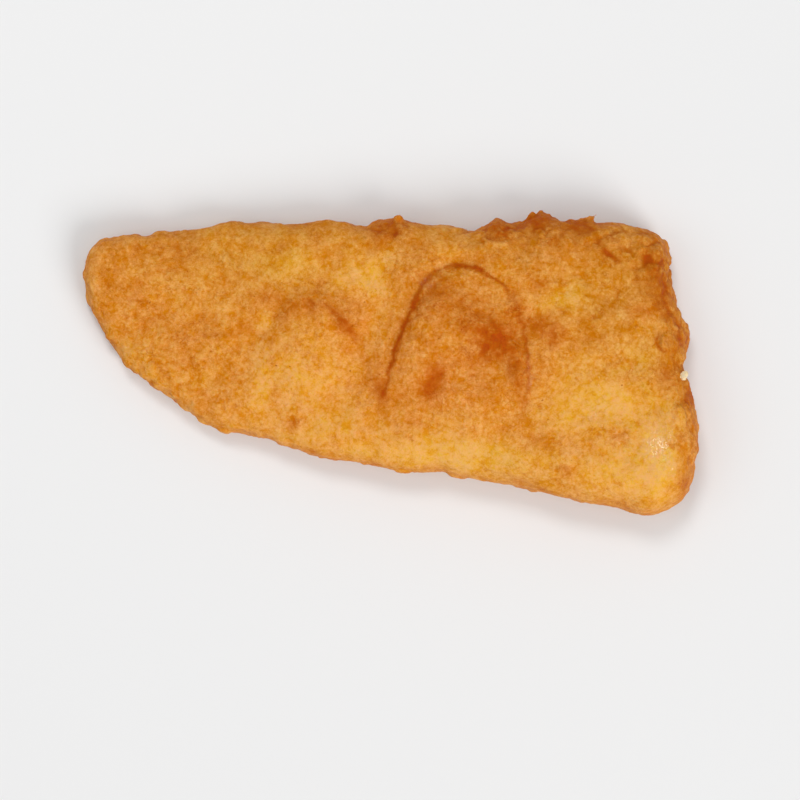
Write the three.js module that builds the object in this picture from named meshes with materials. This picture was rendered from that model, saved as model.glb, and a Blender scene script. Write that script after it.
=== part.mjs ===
// A battered, deep-fried fish fillet: one solid piece lying flat, as it would on a plate.
// Millimetres, +Z up. X runs along the fillet to its thick head end, +Y to its thin back edge.
// The origin is at the middle of its length and width, on the surface that it rests on.

import * as THREE from "three";

// Thickness: a thin tail, a full head end, and a cross-section that is thinner at the back.
const tailThickness = 10.5;
const headThickness = 19.5;
const taperStart = -92; // x where the tail starts to thicken
const taperEnd = 62; // x where the full thickness is reached
const backThinning = 4.2; // how much lower the top is at the back edge than at the front
const tailThinning = 0.4; // the share of that which the tail has
const halfWidth = 45;

// The rounded rim that the batter makes all the way round.
const rimRoundness = 0.45; // width of the rounded rim over the thickness there
const rimWander = 0.14; // how much that width comes and goes along the edge
const waistShare = 0.44; // height of the widest line over the thickness there
const waistWander = 0.09; // how much that height comes and goes along the edge
const footShare = 0.38; // how far the foot lies inside the widest line, over the thickness
const leastRim = 4.6;

// The outline seen from above, counter-clockwise, without its small lumps.
const frontEdge = [
  [-70, -6.6], [-58, -14.6], [-42, -21.4], [-22, -27.2], [0, -30.6], [22, -33.0], [46, -38.2], [66, -42.6],
];
const headEnd = [
  [77, -44.8], [85.4, -40.4], [89.0, -32], [90.1, -20], [88.4, -8.6], [86.4, 1], [86.2, 10], [83.4, 20],
];
const backEdge = [
  [82.6, 30.2], [79.2, 37.6], [68, 40.8], [48, 41.2], [25, 39.8], [0, 41.0], [-24, 41.0], [-46, 40.6],
];
const tailEnd = [
  [-62, 38.8], [-78, 38.0], [-87, 35.4], [-90.1, 28.4], [-88.6, 18], [-83.6, 7.6],
];

// Lumps and notches of the crust along the outline: where, how wide, how far out.
const edgeLumps = [
  { name: "tail dip", at: [-71.5, 38], reach: 3.2, out: -1.2 },
  { name: "small bead", at: [-50.5, 40.4], reach: 2.0, out: 0.9 },
  { name: "tail bump", at: [-45, 40.6], reach: 3.2, out: 1.5 },
  { name: "flat bump", at: [-37.5, 41], reach: 4, out: 0.9 },
  { name: "wide bump", at: [-18, 41], reach: 8, out: 0.9 },
  { name: "back dip", at: [-8.6, 41], reach: 3.4, out: -1.4 },
  { name: "bump by the knob", at: [-2.5, 41], reach: 2.6, out: 1.8 },
  { name: "knob", at: [2.4, 41], reach: 1.8, out: 2.6 },
  { name: "knob's shoulder", at: [6.6, 40.8], reach: 3, out: 1.1 },
  { name: "middle rise", at: [17, 40.2], reach: 4, out: 0.5 },
  { name: "crest dip", at: [24, 39.8], reach: 3.6, out: -1.3 },
  { name: "low crest", at: [31.4, 40], reach: 3.2, out: 3.1 },
  { name: "high crest", at: [44.2, 41], reach: 4.4, out: 3.2 },
  { name: "flake root", at: [55, 41], reach: 3, out: 0.8 },
  { name: "shoulder", at: [68, 40.6], reach: 4, out: 0.7 },
  { name: "neck", at: [82, 27.4], reach: 3.6, out: -1.3 },
  { name: "cheek", at: [86.6, 9], reach: 5, out: 1.0 },
  { name: "notch", at: [86.2, -2], reach: 2.6, out: -1.1 },
  { name: "front swell", at: [22, -33], reach: 7, out: 0.7 },
  { name: "front notch", at: [15.6, -32], reach: 2.4, out: -1.2 },
  { name: "front fold", at: [4, -31], reach: 9, out: 0.5 },
  { name: "long front dip", at: [-33, -24], reach: 7, out: -0.7 },
  { name: "tail front bump", at: [-49, -18.5], reach: 5, out: 0.9 },
  { name: "tail front dip", at: [-64, -10.6], reach: 5, out: -0.9 },
  { name: "tail bead", at: [-77, 0], reach: 3.4, out: 0.8 },
  { name: "tail end dip", at: [-87, 14], reach: 4, out: -0.6 },
];

const lumpSharpness = 3; // how fast a lump dies away above and below the widest line

// Broad forms of the top: where, half length and half width, turned by, and how high.
const mounds = [
  { name: "main mound", at: [20, 5], half: [17, 22], turn: -14, rise: 4.2 },
  { name: "mound crown", at: [16, 18], half: [9, 8], turn: 0, rise: 1.2 },
  { name: "ring hollow", at: [24, 0], half: [8, 7], turn: 20, rise: -1.9 },
  { name: "dimple", at: [12.8, -5], half: [2.8, 4.4], turn: -8, rise: -1.8 },
  { name: "tail mound", at: [-26, 1.5], half: [9.5, 12], turn: 8, rise: 2.5 },
  { name: "tail peak", at: [-24, 16.5], half: [8, 4.4], turn: -25, rise: 1.4 },
  { name: "tail back swell", at: [-62, 27], half: [17, 8], turn: 0, rise: 1.5 },
  { name: "tail dent", at: [-19.5, 23], half: [2.6, 2.2], turn: 0, rise: -0.7 },
  { name: "middle valley", at: [-6, 8], half: [5.5, 17], turn: -18, rise: -2.0 },
  { name: "back hollow", at: [40, 33], half: [16, 3.6], turn: 3, rise: -1.0 },
  { name: "back swell", at: [51, 19], half: [9, 9], turn: 0, rise: 1.0 },
  { name: "head hollow", at: [66, -14], half: [9.5, 5], turn: 6, rise: -1.3 },
  { name: "head swell", at: [70, 12], half: [11, 9], turn: 0, rise: 1.0 },
  { name: "belly", at: [58, -30], half: [20, 8], turn: -10, rise: 1.6 },
  { name: "head shoulder", at: [81.5, -17], half: [3.4, 9], turn: 4, rise: 1.3 },
  { name: "front swell", at: [-2, -20], half: [17, 6], turn: -6, rise: 1.0 },
];

// Folds of the crust that follow a line: their points, half width, and how high or deep.
const folds = [
  {
    name: "arch crease",
    line: [[-1.6, -6], [1.5, 5], [6.4, 15], [8.8, 23.5], [15.5, 27.6], [22, 29.2], [30, 25.6], [34.5, 20]],
    half: 1.9,
    rise: -1.7,
  },
  {
    name: "ring ridge",
    line: [[17.4, 9.8], [25.4, 10.6], [32.5, 7.2], [36.2, 1], [37.4, -5], [39.4, -10]],
    half: 2.3,
    rise: 1.5,
  },
  {
    name: "tail peak ridge",
    line: [[-34, 5.8], [-30, 13], [-25, 19.4], [-18, 15.5], [-11, 9.6]],
    half: 2.2,
    rise: 0.9,
  },
  {
    name: "head crease",
    line: [[62, 0.4], [71, -0.8]],
    half: 1.7,
    rise: -0.7,
  },
  {
    name: "back dash",
    line: [[62.4, 34.6], [66.6, 29.6]],
    half: 1.6,
    rise: -0.8,
  },
];

const foldEnds = 0.15; // how much of a fold's fading arc is left out at each end

// Slow waves of the whole top, so that no stretch is quite flat: height, wavelengths, phases.
const waves = [
  { rise: 0.42, along: 37, across: 29, shift: [0.7, 0.2] },
  { rise: 0.28, along: 19, across: 23, shift: [2.1, 1.3] },
];

// How often the rim's width and the widest line's height come and go in one round.
const rimTurns = [9, 23];
const rimShift = 0.6;
const waistTurns = [7, 17];
const waistShift = 1.9;
const slowShare = 0.6; // how much of the wander is the slow wave

// Mesh density: steps along and across the top, and the angles of the rim's rings.
const stepsAlong = 74;
const stepsAcross = 36;
const rimAngles = [68, 46, 25, 8, -12, -38, -66]; // degrees above the widest line
const samplesPerFold = 40;
const samplesPerSide = 400;

// A curve through the corner and points of one side, on to the next side's first point.
const outlinePoints = [frontEdge, headEnd, backEdge, tailEnd];
const outline = new THREE.CatmullRomCurve3(
  outlinePoints.flat().map(([x, y]) => new THREE.Vector3(x, y, 0)),
  true,
  "centripetal",
);

// Evenly spaced places along the outline between two shares of its length in points.
function sideOf(first, count, steps) {
  const total = outlinePoints.flat().length;
  const dense = [];
  for (let i = 0; i <= samplesPerSide; i += 1) {
    dense.push(outline.getPoint(((first + (count * i) / samplesPerSide) / total) % 1));
  }
  const reached = [0];
  for (let i = 1; i < dense.length; i += 1) {
    reached.push(reached[i - 1] + dense[i].distanceTo(dense[i - 1]));
  }
  const places = [];
  let j = 0;
  for (let i = 0; i < steps; i += 1) {
    const wanted = (reached[samplesPerSide] * i) / steps;
    while (reached[j + 1] < wanted) j += 1;
    const share = (wanted - reached[j]) / (reached[j + 1] - reached[j]);
    places.push(dense[j].clone().lerp(dense[j + 1], share));
  }
  return places;
}

function perimeter() {
  const steps = [stepsAlong, stepsAcross, stepsAlong, stepsAcross];
  let first = 0;
  return outlinePoints.flatMap((side, k) => {
    const places = sideOf(first, side.length, steps[k]);
    first += side.length;
    return places;
  });
}

// A wander between -1 and 1 that closes on itself round the outline.
function wanderAt(share, [slow, quick], shift) {
  const turn = 2 * Math.PI * share;
  const slowWave = Math.sin(slow * turn + shift);
  const quickWave = Math.sin(quick * turn + 2 * shift);
  return slowShare * slowWave + (1 - slowShare) * quickWave;
}

// The outward direction at each place, from its neighbours on both sides.
function outwardOf(places) {
  const reach = 2;
  const count = places.length;
  return places.map((_, i) => {
    const along = places[(i + reach) % count].clone().sub(places[(i - reach + count) % count]);
    return new THREE.Vector3(along.y, -along.x, 0).normalize();
  });
}

function lumpAt(place) {
  return edgeLumps.reduce((sum, lump) => {
    const away = Math.hypot(place.x - lump.at[0], place.y - lump.at[1]) / lump.reach;
    return sum + lump.out * Math.exp(-away * away);
  }, 0);
}

function moundHeight(mound, x, y) {
  const turn = THREE.MathUtils.degToRad(mound.turn);
  const dx = x - mound.at[0];
  const dy = y - mound.at[1];
  const along = (dx * Math.cos(turn) + dy * Math.sin(turn)) / mound.half[0];
  const across = (dy * Math.cos(turn) - dx * Math.sin(turn)) / mound.half[1];
  return mound.rise * Math.exp(-(along * along + across * across));
}

for (const fold of folds) {
  const line = new THREE.CatmullRomCurve3(fold.line.map(([x, y]) => new THREE.Vector3(x, y, 0)));
  fold.samples = line.getSpacedPoints(samplesPerFold);
}

function foldHeight(fold, x, y) {
  const place = new THREE.Vector3(x, y, 0);
  const last = fold.samples.length - 1;
  let nearest = Infinity;
  let share = 0;
  fold.samples.forEach((sample, i) => {
    const away = sample.distanceTo(place);
    if (away < nearest) {
      nearest = away;
      share = i / last;
    }
  });
  const arc = THREE.MathUtils.lerp(foldEnds, 1 - foldEnds, share);
  const fade = Math.sin(Math.PI * arc); // shallower at both ends
  return fold.rise * fade * Math.exp(-((nearest / fold.half) ** 2));
}

function waveHeight(wave, x, y) {
  const along = Math.sin((2 * Math.PI * x) / wave.along + wave.shift[0]);
  const across = Math.cos((2 * Math.PI * y) / wave.across + wave.shift[1]);
  return wave.rise * along * across;
}

function thicknessAt(x, y) {
  const grown = THREE.MathUtils.smoothstep(x, taperStart, taperEnd);
  const middle = THREE.MathUtils.lerp(tailThickness, headThickness, grown);
  const towardsBack = (y / halfWidth + 1) / 2;
  const thinning = THREE.MathUtils.lerp(tailThinning, 1, grown) * backThinning;
  return middle + thinning * (0.5 - towardsBack);
}

function topHeight(x, y) {
  let height = thicknessAt(x, y);
  for (const mound of mounds) height += moundHeight(mound, x, y);
  for (const fold of folds) height += foldHeight(fold, x, y);
  for (const wave of waves) height += waveHeight(wave, x, y);
  return height;
}

// Coons patch: fills the loop that is the top's edge, from its four sides.
function patchPoint(loop, i, j) {
  const u = i / stepsAlong;
  const v = j / stepsAcross;
  const corner = [0, stepsAlong, stepsAlong + stepsAcross, 2 * stepsAlong + stepsAcross];
  const count = loop.length;
  const front = loop[i];
  const head = loop[corner[1] + j];
  const back = loop[corner[3] - i];
  const tail = loop[(count - j) % count];
  const mixed = (k) =>
    (1 - v) * front[k] + v * back[k] + (1 - u) * tail[k] + u * head[k]
    - (1 - u) * (1 - v) * loop[corner[0]][k]
    - u * (1 - v) * loop[corner[1]][k]
    - u * v * loop[corner[2]][k]
    - (1 - u) * v * loop[corner[3]][k];
  return [mixed("x"), mixed("y")];
}

// The loop index of a patch point that lies on the patch's own edge, or -1 inside it.
function edgeIndex(i, j) {
  const count = 2 * (stepsAlong + stepsAcross);
  if (j === 0) return i;
  if (i === stepsAlong) return stepsAlong + j;
  if (j === stepsAcross) return 2 * stepsAlong + stepsAcross - i;
  if (i === 0) return count - j;
  return -1;
}

function filletGeometry() {
  const places = perimeter();
  const outward = outwardOf(places);
  const count = places.length;
  const positions = [];
  const triangles = [];
  const addPoint = (x, y, z) => positions.push(x, y, z) / 3 - 1;

  // Each place on the outline: its widest point, lump, inner loops and heights.
  const rim = places.map((place, i) => {
    const thick = Math.max(topHeight(place.x, place.y), tailThickness);
    const share = i / count;
    const roundness = rimRoundness * (1 + rimWander * wanderAt(share, rimTurns, rimShift));
    const inset = Math.max(roundness * thick, leastRim);
    const inner = place.clone().addScaledVector(outward[i], -inset);
    const foot = place.clone().addScaledVector(outward[i], -footShare * thick);
    const top = topHeight(inner.x, inner.y);
    const waist = top * (waistShare + waistWander * wanderAt(share, waistTurns, waistShift));
    return { wide: place, outward: outward[i], lump: lumpAt(place), inner, foot, top, waist };
  });

  // The top: a patch of quads inside the rim's inner loop.
  const loop = rim.map(({ inner }) => inner);
  const loopStart = 0;
  rim.forEach(({ inner, top }) => addPoint(inner.x, inner.y, top));
  const patch = [];
  for (let i = 0; i <= stepsAlong; i += 1) {
    patch.push([]);
    for (let j = 0; j <= stepsAcross; j += 1) {
      const onEdge = edgeIndex(i, j);
      if (onEdge >= 0) {
        patch[i].push(loopStart + onEdge);
        continue;
      }
      const [x, y] = patchPoint(loop, i, j);
      patch[i].push(addPoint(x, y, topHeight(x, y)));
    }
  }
  const addQuad = (a, b, c, d) => triangles.push(a, b, c, a, c, d);
  for (let i = 0; i < stepsAlong; i += 1) {
    for (let j = 0; j < stepsAcross; j += 1) {
      addQuad(patch[i][j], patch[i + 1][j], patch[i + 1][j + 1], patch[i][j + 1]);
    }
  }

  // The rim: rings from the top's edge, round the widest line, to the foot.
  let above = loopStart;
  for (const degrees of [...rimAngles, -90]) {
    const angle = THREE.MathUtils.degToRad(degrees);
    const start = positions.length / 3;
    rim.forEach(({ wide, outward: out, lump, inner, foot, top, waist }) => {
      const within = degrees > 0 ? inner : foot;
      const reach = degrees > 0 ? top - waist : waist;
      const proud = lump * Math.cos(angle) ** lumpSharpness;
      const x = within.x + (wide.x - within.x) * Math.cos(angle) + out.x * proud;
      const y = within.y + (wide.y - within.y) * Math.cos(angle) + out.y * proud;
      addPoint(x, y, waist + reach * Math.sin(angle));
    });
    for (let i = 0; i < count; i += 1) {
      const next = (i + 1) % count;
      addQuad(above + i, start + i, start + next, above + next);
    }
    above = start;
  }

  // The flat underside that the fillet rests on.
  const foot = rim.map((place) => new THREE.Vector2(place.foot.x, place.foot.y));
  for (const [a, b, c] of THREE.ShapeUtils.triangulateShape(foot, [])) {
    triangles.push(above + a, above + c, above + b);
  }

  const geometry = new THREE.BufferGeometry();
  geometry.setAttribute("position", new THREE.Float32BufferAttribute(positions, 3));
  geometry.setIndex(triangles);
  geometry.computeVertexNormals();
  return geometry;
}

// Centres the piece on its own box and stands it on z = 0.
function centred(geometry) {
  geometry.computeBoundingBox();
  const box = geometry.boundingBox;
  geometry.translate(-(box.min.x + box.max.x) / 2, -(box.min.y + box.max.y) / 2, -box.min.z);
  return geometry;
}

const friedBatter = new THREE.MeshStandardMaterial({ color: 0xd2913a, roughness: 0.55, metalness: 0 });
const fillet = new THREE.Mesh(centred(filletGeometry()), friedBatter);
fillet.name = "fillet";

const part = new THREE.Group();
part.name = "fried_fish_fillet";
part.add(fillet);

export default part;
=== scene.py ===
import math
import random

import bmesh
import bpy
from mathutils import Matrix, Vector


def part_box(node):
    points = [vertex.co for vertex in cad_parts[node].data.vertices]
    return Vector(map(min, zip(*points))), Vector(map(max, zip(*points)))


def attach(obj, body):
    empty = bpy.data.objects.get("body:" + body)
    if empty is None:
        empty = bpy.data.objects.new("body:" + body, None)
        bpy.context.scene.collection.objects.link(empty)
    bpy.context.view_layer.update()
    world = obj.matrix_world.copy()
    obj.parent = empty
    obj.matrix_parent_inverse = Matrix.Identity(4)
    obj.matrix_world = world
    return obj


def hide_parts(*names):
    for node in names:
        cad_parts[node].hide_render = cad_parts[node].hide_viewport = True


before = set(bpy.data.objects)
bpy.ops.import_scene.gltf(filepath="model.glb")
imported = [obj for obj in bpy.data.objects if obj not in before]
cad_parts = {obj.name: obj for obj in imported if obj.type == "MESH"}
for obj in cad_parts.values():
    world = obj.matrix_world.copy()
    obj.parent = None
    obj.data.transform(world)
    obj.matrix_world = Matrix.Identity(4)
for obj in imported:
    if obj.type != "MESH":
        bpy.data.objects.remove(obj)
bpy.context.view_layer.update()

mm = 0.001
scene = bpy.context.scene
scene.view_settings.view_transform = "Standard"
filletLow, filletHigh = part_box("fillet")
print("frame loaded, fillet", [round(side / mm, 1) for side in filletHigh - filletLow], "mm")


# helpers that write node trees

def addNode(tree, kind, inputs=None, **settings):
    node = tree.nodes.new(kind)
    for name, value in settings.items():
        setattr(node, name, value)
    for key, value in (inputs or {}).items():
        if isinstance(value, bpy.types.NodeSocket):
            tree.links.new(value, node.inputs[key])
        else:
            node.inputs[key].default_value = value
    return node


def calc(tree, operation, *values):
    return addNode(tree, "ShaderNodeMath", dict(enumerate(values)), operation=operation).outputs[0]


def vectorCalc(tree, operation, *values, output=0):
    node = addNode(tree, "ShaderNodeVectorMath", dict(enumerate(values)), operation=operation)
    return node.outputs[output]


def total(tree, values):
    result = values[0]
    for value in values[1:]:
        result = calc(tree, "ADD", result, value)
    return result


def remap(tree, value, low, high, toLow=0.0, toHigh=1.0):
    return addNode(
        tree, "ShaderNodeMapRange",
        {"Value": value, "From Min": low, "From Max": high, "To Min": toLow, "To Max": toHigh},
        interpolation_type="SMOOTHSTEP",
    ).outputs["Result"]


def scaled(tree, place, factor):
    return addNode(tree, "ShaderNodeVectorMath", {0: place, "Scale": factor}, operation="SCALE").outputs[0]


def perSize(tree, size):
    return calc(tree, "DIVIDE", 1.0, size) if isinstance(size, bpy.types.NodeSocket) else 1 / size


def noiseAt(tree, place, size, detail=2.0, roughness=0.5, output="Fac"):
    # place is in mm, and so is size; the result runs from about -1 to 1, or is a vector
    node = addNode(
        tree, "ShaderNodeTexNoise",
        {"Vector": place, "Scale": perSize(tree, size), "Detail": detail, "Roughness": roughness},
    )
    if output == "Fac":
        return calc(tree, "MULTIPLY_ADD", node.outputs["Fac"], 4.0, -2.0)
    return vectorCalc(tree, "SUBTRACT", node.outputs["Color"], (0.5, 0.5, 0.5))


def cellsAt(tree, place, size, smoothness):
    # distance to the middle of the nearest cell, as a share of size
    return addNode(
        tree, "ShaderNodeTexVoronoi",
        {"Vector": place, "Scale": perSize(tree, size), "Smoothness": smoothness},
        feature="SMOOTH_F1",
    ).outputs["Distance"]


def newTree(name, floats):
    tree = bpy.data.node_groups.new(name, "GeometryNodeTree")
    tree.interface.new_socket(name="Geometry", in_out="INPUT", socket_type="NodeSocketGeometry")
    for label, value in floats.items():
        socket = tree.interface.new_socket(name=label, in_out="INPUT", socket_type="NodeSocketFloat")
        socket.default_value = value
    tree.interface.new_socket(name="Geometry", in_out="OUTPUT", socket_type="NodeSocketGeometry")
    return tree, tree.nodes.new("NodeGroupInput").outputs


def closeTree(tree, geometry, material):
    realized = addNode(tree, "GeometryNodeRealizeInstances", {"Geometry": geometry}).outputs[0]
    smooth = addNode(tree, "GeometryNodeSetShadeSmooth", {"Geometry": realized}).outputs[0]
    dressed = addNode(tree, "GeometryNodeSetMaterial", {"Geometry": smooth, "Material": material})
    output = tree.nodes.new("NodeGroupOutput")
    tree.links.new(dressed.outputs[0], output.inputs[0])


def addTree(piece, tree, values):
    modifier = piece.modifiers.new(tree.name, "NODES")
    modifier.node_group = tree
    for item in tree.interface.items_tree:
        if item.in_out == "INPUT" and item.name in values:
            modifier[item.identifier] = values[item.name]


def storeField(tree, geometry, name, value):
    return addNode(
        tree, "GeometryNodeStoreNamedAttribute",
        {"Geometry": geometry, "Name": name, "Value": value}, data_type="FLOAT", domain="POINT",
    ).outputs[0]


def newObject(name, data):
    made = bpy.data.objects.new(name, data)
    scene.collection.objects.link(made)
    return made


def plainMesh(piece, name):
    # what the modifiers make, as an object of its own; the piece it came from is removed
    evaluated = piece.evaluated_get(bpy.context.evaluated_depsgraph_get())
    mesh = bpy.data.meshes.new_from_object(evaluated, preserve_all_data_layers=True,
                                           depsgraph=bpy.context.evaluated_depsgraph_get())
    mesh.name = name
    bpy.data.objects.remove(piece)
    return newObject(name, mesh)


# creases and folds of the crust, as lines over the top, in mm from the middle of the fillet:
# a line is a groove, and the side on its right stands a step higher than the side on its left;
# the colour along each line is darkened, painted shade of the groove over some browning

creases = [
    {"name": "arch, left side",
     "line": [(-2.0, -9.5), (-0.6, -4.5), (0.6, 0), (2.4, 6), (4.4, 11.6), (7.2, 17.4), (9.2, 22.6),
              (11.6, 26)],
     "depth": 0.074, "reach": 0.6, "step": 0.50, "brown": 1.0},
    {"name": "arch, top",
     "line": [(11.6, 26), (15.0, 27.8), (20.6, 28.8), (25.6, 27.8), (29.4, 25.4), (33.2, 22.4), (34.8, 18.6)],
     "depth": 0.066, "reach": 0.55, "step": 0.30, "brown": 0.95},
    {"name": "arch, inner branch",
     "line": [(7.8, 17.2), (10.4, 19.8), (13.0, 20.8)],
     "depth": 0.033, "reach": 1.0, "step": 0.10, "brown": 0.20},
    {"name": "second arch line",
     "line": [(10.8, 29.2), (15.0, 30.8), (20.2, 30.8)],
     "depth": 0.033, "reach": 0.6, "step": 0.1, "brown": 0.22},
    {"name": "ring, inner wall",
     "line": [(21.0, 12.6), (25.6, 11.4), (29.2, 9.4), (32.8, 5.8), (35.6, 2.4), (36.6, -2.4)],
     "depth": 0.025, "reach": 1.6, "step": -0.25, "brown": 0.10},
    {"name": "mound, right side",
     "line": [(35.6, 21.4), (37.2, 16.6), (38.4, 11.0), (39.6, 5.0), (40.2, -2), (39.8, -8.6), (37.8, -15.4)],
     "depth": 0.075, "reach": 0.8, "step": -0.3, "brown": 0.58},
    {"name": "tail peak, dash",
     "line": [(-24.4, 19.4), (-22.4, 18.2), (-20.8, 16.4)],
     "depth": 0.05, "reach": 0.7, "step": -0.3, "brown": 0.40},
    {"name": "tail peak, right leg",
     "line": [(-18.8, 17.2), (-15.6, 14.6), (-12.6, 11.4), (-10.2, 8.2), (-9.6, 5.6)],
     "depth": 0.05, "reach": 1.0, "step": 0.35, "brown": 0.55},
    {"name": "tail peak, left leg",
     "line": [(-27.4, 18.4), (-31.2, 14.4), (-34.0, 9.6), (-36.4, 4.6)],
     "depth": 0.017, "reach": 1.1, "step": -0.15, "brown": 0.08},
    {"name": "head dash",
     "line": [(62.4, 34.2), (63.8, 31.6), (66.2, 29.8)],
     "depth": 0.099, "reach": 0.9, "step": -0.2, "brown": 0.85},
    {"name": "head crease",
     "line": [(62.4, -0.6), (65.0, 0.4), (67.6, 1.2), (70.6, -0.2)],
     "depth": 0.058, "reach": 0.6, "step": 0.35, "brown": 0.30},
    {"name": "cheek ring",
     "line": [(78.0, 9.6), (77.6, 6.6), (78.4, 4.4), (80.2, 3.6)],
     "depth": 0.05, "reach": 0.5, "step": 0.05, "brown": 0.75},
    {"name": "back scratch",
     "line": [(-7.4, 29.6), (-8.9, 24.6)],
     "depth": 0.033, "reach": 0.5, "step": 0, "brown": 0.30},
    {"name": "shoulder",
     "line": [(81.4, -9.6), (82.6, -15), (83.6, -22), (85.4, -28)],
     "depth": 0.05, "reach": 0.8, "step": -0.5, "brown": 0.12},
    {"name": "front wrinkle",
     "line": [(52, -17.6), (56.6, -15.2), (60.6, -15.8)],
     "depth": 0.058, "reach": 0.7, "step": 0.25, "brown": 0.15},
    {"name": "tail wrinkle",
     "line": [(-60, 12), (-52, 8.5), (-44, 9.6)],
     "depth": 0.05, "reach": 1.1, "step": 0.4, "brown": 0.25},
    {"name": "tail fold",
     "line": [(-74, 24), (-66, 27.5), (-58, 26.5)],
     "depth": 0.05, "reach": 1.0, "step": -0.35, "brown": 0.22},
]
icoSwell = 1.25  # what a 20-sided dot loses when it is rounded
creaseStep = 0.4  # mm between the points that stand for a crease
stepWidth = 2.2  # mm over which a step rises
stepDecay = 6.0  # mm over which it falls away again


def smoothLine(points, step):
    # a curve through the points, sampled evenly enough
    ends = [Vector(points[0]) * 2 - Vector(points[1])], [Vector(points[-1]) * 2 - Vector(points[-2])]
    knots = ends[0] + [Vector(point) for point in points] + ends[1]
    line = []
    for a, b, c, d in zip(knots, knots[1:], knots[2:], knots[3:]):
        count = max(2, round((c - b).length / step))
        for i in range(count):
            t = i / count
            line.append(0.5 * (2 * b + (c - a) * t + (2 * a - 5 * b + 4 * c - d) * t * t
                               + (3 * b - a - 3 * c + d) * t ** 3))
    return line + [knots[-2]]


def creasePoints():
    places, sides, values = [], [], {"depth": [], "reach": [], "step": [], "brown": []}
    for crease in creases:
        line = smoothLine(crease["line"], creaseStep)
        for i, point in enumerate(line):
            along = (line[min(i + 1, len(line) - 1)] - line[max(i - 1, 0)]).normalized()
            fade = math.sin(math.pi * (0.06 + 0.88 * i / (len(line) - 1))) ** 0.7  # weaker at its ends
            places.append((*point, 0))
            sides += [along.y, -along.x, 0]
            for name in values:
                values[name].append(crease[name] * (1 if name == "reach" else fade))
    mesh = bpy.data.meshes.new("creasePoints")
    mesh.from_pydata(places, [], [])
    for name in values:
        mesh.attributes.new(name, "FLOAT", "POINT").data.foreach_set("value", values[name])
    mesh.attributes.new("side", "FLOAT_VECTOR", "POINT").data.foreach_set("vector", sides)
    return newObject("creasePoints", mesh)


# dabs of batter that set on the crust, in mm: a run is a row of dots, a plate is the skin
# round its dots; a dot is (x, y, z, radius), and flat is its thickness as a share of its width

dabs = [
    {"name": "knob", "kind": "run", "flat": 0.9,
     "dots": [(1.6, 40.0, 10.4, 1.3), (2.3, 41.4, 10.6, 1.1), (2.5, 42.4, 10.8, 1.65)]},
    {"name": "knob's neighbour", "kind": "run", "flat": 0.8,
     "dots": [(-4.6, 39.4, 8.2, 1.5), (-2.4, 40.8, 8.0, 1.6)]},
    {"name": "first crest", "kind": "plate", "flat": 0.6,
     "dots": [(28.6, 39.0, 8.0, 1.2), (31.4, 42.4, 8.6, 0.9), (34.4, 40.4, 7.8, 1.0),
              (31.6, 37.4, 8.6, 1.4)]},
    {"name": "nib by the first crest", "kind": "run", "flat": 0.6,
     "dots": [(37.8, 40.0, 8.0, 1.4), (38.2, 41.4, 8.2, 0.8)]},
    {"name": "crest, left tip", "kind": "plate", "flat": 0.55,
     "dots": [(40.2, 41.6, 8.4, 1.2), (41.8, 44.0, 9.4, 0.75), (43.2, 42.6, 9.4, 0.9),
              (43.6, 39.4, 9.0, 1.6)]},
    {"name": "crest, middle", "kind": "plate", "flat": 0.55,
     "dots": [(43.6, 41.8, 8.4, 1.0), (45.0, 42.8, 8.8, 0.8), (46.6, 43.7, 8.8, 0.8),
              (47.4, 40.2, 8.8, 1.6)]},
    {"name": "crest, right", "kind": "plate", "flat": 0.5,
     "dots": [(47.0, 42.0, 8.2, 1.0), (48.4, 42.9, 8.4, 0.7), (50.2, 41.4, 8.2, 0.9),
              (48.0, 39.0, 8.6, 1.5)]},
    {"name": "flake", "kind": "plate", "flat": 0.5,
     "dots": [(52.0, 40.6, 9.0, 1.1), (54.0, 39.2, 9.4, 1.2), (60.5, 43.9, 10.8, 0.45),
              (59.0, 41.8, 10.4, 0.6)]},
    {"name": "corner bead", "kind": "run", "flat": 0.9, "dots": [(81.6, 31.0, 7.6, 1.0)]},
    {"name": "belt bead", "kind": "run", "flat": 0.8,
     "dots": [(82.4, 20.4, 7.4, 1.3), (83.0, 18.6, 7.2, 1.0)]},
    {"name": "belt drip", "kind": "run", "flat": 1.6,
     "dots": [(86.4, 11.0, 7.6, 1.6), (87.0, 7.4, 7.4, 1.4), (86.6, 4.2, 7.2, 1.1)]},
    {"name": "head shelf", "kind": "run", "flat": 1.5,
     "dots": [(86.8, -6.8, 8.0, 1.5), (87.6, -10.6, 8.0, 1.9), (87.4, -14.6, 7.6, 1.5)]},
    {"name": "shoulder drip", "kind": "run", "flat": 1.4,
     "dots": [(88.2, -18.6, 7.0, 1.2), (88.4, -23.4, 6.6, 1.5), (87.6, -27.6, 6.4, 1.1)]},
    {"name": "front nib", "kind": "run", "flat": 0.8,
     "dots": [(1.6, -26.6, 7.0, 1.2), (1.9, -28.0, 6.8, 0.7)]},
    {"name": "front step", "kind": "run", "flat": 0.8,
     "dots": [(16.8, -28.4, 7.4, 1.5), (19.6, -29.6, 7.2, 1.1)]},
]
cheekDabs = [  # dabs on top of the crust: (x, y, radius, thickness)
    (81.0, 6.4, 3.2, 0.4),
    (79.0, 11.6, 2.2, 0.5),
    (84.4, -13.0, 2.0, 0.5),
]
rimDabs = {
    "count": 150, "seed": 11, "lowest": 1.8, "highest": 11.0,
    "radius": (0.7, 2.3), "stretch": (0.7, 1.6), "flat": (0.35, 0.6), "sunk": 0.45,
}


def addDot(bm, place, radius, scale=(1, 1, 1), turn=None):
    matrix = Matrix.Translation(Vector(place) * mm) @ (turn or Matrix()) @ Matrix.Diagonal((*scale, 1))
    bmesh.ops.create_icosphere(bm, subdivisions=1, radius=radius * mm * icoSwell, matrix=matrix)


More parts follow.
